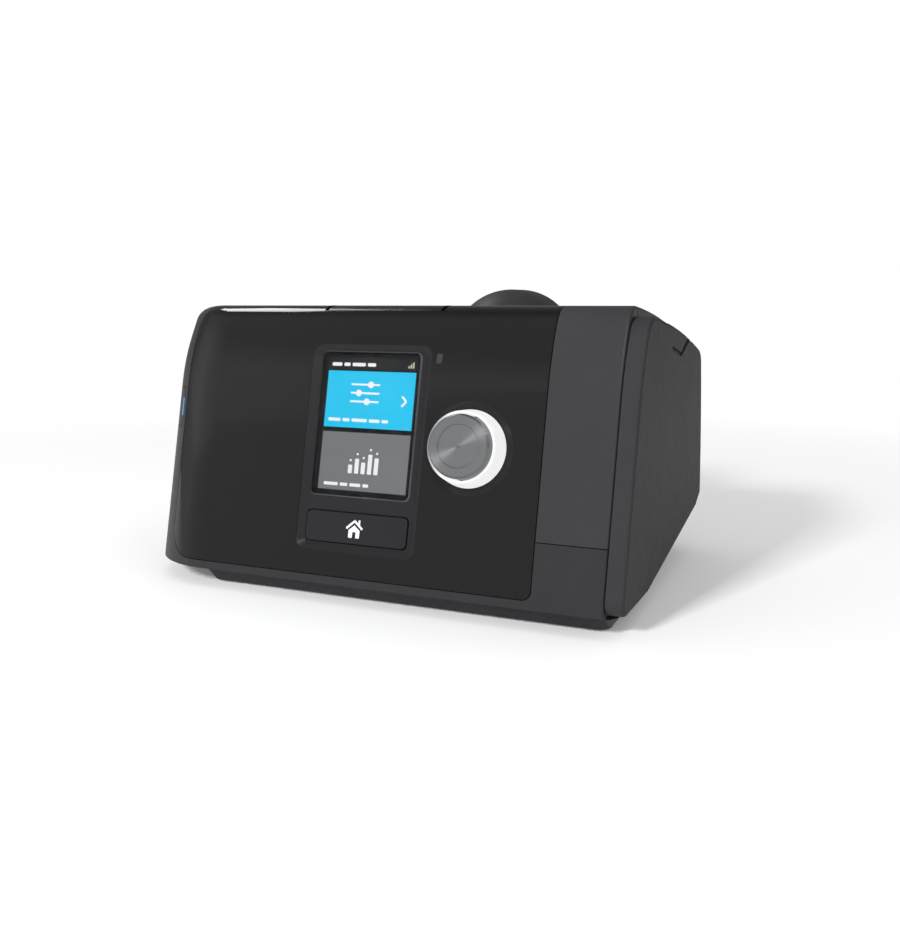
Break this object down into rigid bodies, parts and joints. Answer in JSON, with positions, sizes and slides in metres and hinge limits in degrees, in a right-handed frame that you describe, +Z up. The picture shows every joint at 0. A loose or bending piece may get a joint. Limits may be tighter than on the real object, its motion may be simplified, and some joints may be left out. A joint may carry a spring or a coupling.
{
  "type": "cpap machine",
  "caption": "Bedside breathing-therapy air machine with a leaning glossy front, colour screen, turned dial, slide-out heated water tub and a 22 mm air outlet under a domed hood.",
  "frame": {"origin": "middle of the overall footprint, at the bottom of the feet", "axes": "+X to the right along the longest side, the front faces -Y, +Z up"},
  "size_m": [0.205, 0.15, 0.116],
  "materials": {
    "gloss_black": "high gloss",
    "satin_black": "fine texture",
    "grey_trim": "satin",
    "surround_grey": "satin",
    "window": "clear, dark behind",
    "display": "lit colour display",
    "turned_metal": "turned",
    "ring_plastic": "translucent",
    "steel": "plain",
    "aluminium": "matt",
    "clear_plastic": "clear",
    "silicone": "matt",
    "rubber": "matt",
    "filter_fibre": "felted",
    "foam": "open cell",
    "inner_plastic": "plain",
    "blower_plastic": "plain",
    "board": "varnished",
    "component": "plain",
    "tab_blue": "satin"
  },
  "bodies": {
    "housing": {"front_panel": "gloss_black", "top_cover": "satin_black", "rear_cover": "satin_black", "upper_trim": "grey_trim", "lower_trim": "grey_trim", "base_tray": "satin_black", "rubber_feet": "rubber", "base_screws": "steel", "screen_surround": "surround_grey", "screen_lens": "window", "lcd_module": "display", "sensor_window": "window", "front_carrier": "inner_plastic", "display_board": "board", "home_switch": "component", "start_board": "board", "start_switch": "component", "light_ring": "ring_plastic", "encoder": "component", "bay_liner": "inner_plastic", "heater_plate": "aluminium", "heater_carrier": "inner_plastic", "outlet_hood": "satin_black", "outlet_socket": "satin_black", "outlet_connector": "inner_plastic", "outlet_duct": "silicone", "port_seals": "silicone", "air_filter": "filter_fibre", "intake_box": "inner_plastic", "muffler_foam": "foam", "power_socket": "component", "card_recess": "inner_plastic", "card_socket": "component", "memory_card": "tab_blue", "adapter_recess": "inner_plastic", "adapter_port": "component", "blower_base": "blower_plastic", "blower_cover": "blower_plastic", "motor": "aluminium", "blower_mount": "silicone", "blower_duct": "silicone", "main_board": "board", "board_components": "component"},
    "tub": {"tub_body": "clear_plastic", "tub_plate": "aluminium", "tub_seal": "silicone", "tub_lid": "clear_plastic", "tub_cover": "grey_trim"},
    "home_key": {"home_button": "surround_grey"},
    "start_key": {"start_button": "gloss_black"},
    "dial_plunger": {"encoder_plunger": "component"},
    "dial": {"dial_cap": "turned_metal", "dial_shaft": "steel"},
    "rotor": {"impeller": "blower_plastic", "rotor_shaft": "steel"},
    "filter_door": {"filter_cover": "satin_black"},
    "clip": {"retention_clip": "satin_black"},
    "card_flap": {"card_door": "satin_black", "card_tab": "tab_blue"},
    "adapter_flap": {"adapter_cover": "satin_black"}
  },
  "joints": [
    {"name": "tub_slide", "type": "slide", "parent": "housing", "child": "tub", "axis": [1, 0, 0], "range_m": [0, 0.095]},
    {"name": "home_press", "type": "slide", "parent": "housing", "child": "home_key", "axis": [0, 0.9742, -0.2258], "range_m": [0, 0.0007], "stiffness_N_per_m": 900, "springref_m": -0.0005},
    {"name": "start_press", "type": "slide", "parent": "housing", "child": "start_key", "axis": [0, 0, -1], "range_m": [0, 0.0008], "stiffness_N_per_m": 900, "springref_m": -0.0005},
    {"name": "dial_press", "type": "slide", "parent": "housing", "child": "dial_plunger", "axis": [0, 0.9742, -0.2258], "range_m": [0, 0.0008], "stiffness_N_per_m": 1500, "springref_m": -0.0005},
    {"name": "dial_turn", "type": "hinge", "parent": "dial_plunger", "child": "dial", "pos_m": [0.043, -0.06292, 0.0595], "axis": [0, -0.9742, 0.2258], "continuous": true},
    {"name": "impeller_spin", "type": "hinge", "parent": "housing", "child": "rotor", "pos_m": [-0.03, 0.005, 0.065], "axis": [0, 0, 1], "continuous": true},
    {"name": "filter_cover_hinge", "type": "hinge", "parent": "housing", "child": "filter_door", "pos_m": [-0.06, 0.07103, 0.0378], "axis": [-1, 0, 0], "range_deg": [0, 90]},
    {"name": "retention_clip_hinge", "type": "hinge", "parent": "housing", "child": "clip", "pos_m": [-0.022, 0.07216, 0.0545], "axis": [-1, 0, 0], "range_deg": [0, 160]},
    {"name": "card_door_hinge", "type": "hinge", "parent": "housing", "child": "card_flap", "pos_m": [-0.1013, -0.0218, 0.068], "axis": [0, 0, -1], "range_deg": [0, 100]},
    {"name": "adapter_cover_hinge", "type": "hinge", "parent": "housing", "child": "adapter_flap", "pos_m": [-0.1013, 0.0202, 0.04], "axis": [0, 0, -1], "range_deg": [0, 100]}
  ]
}
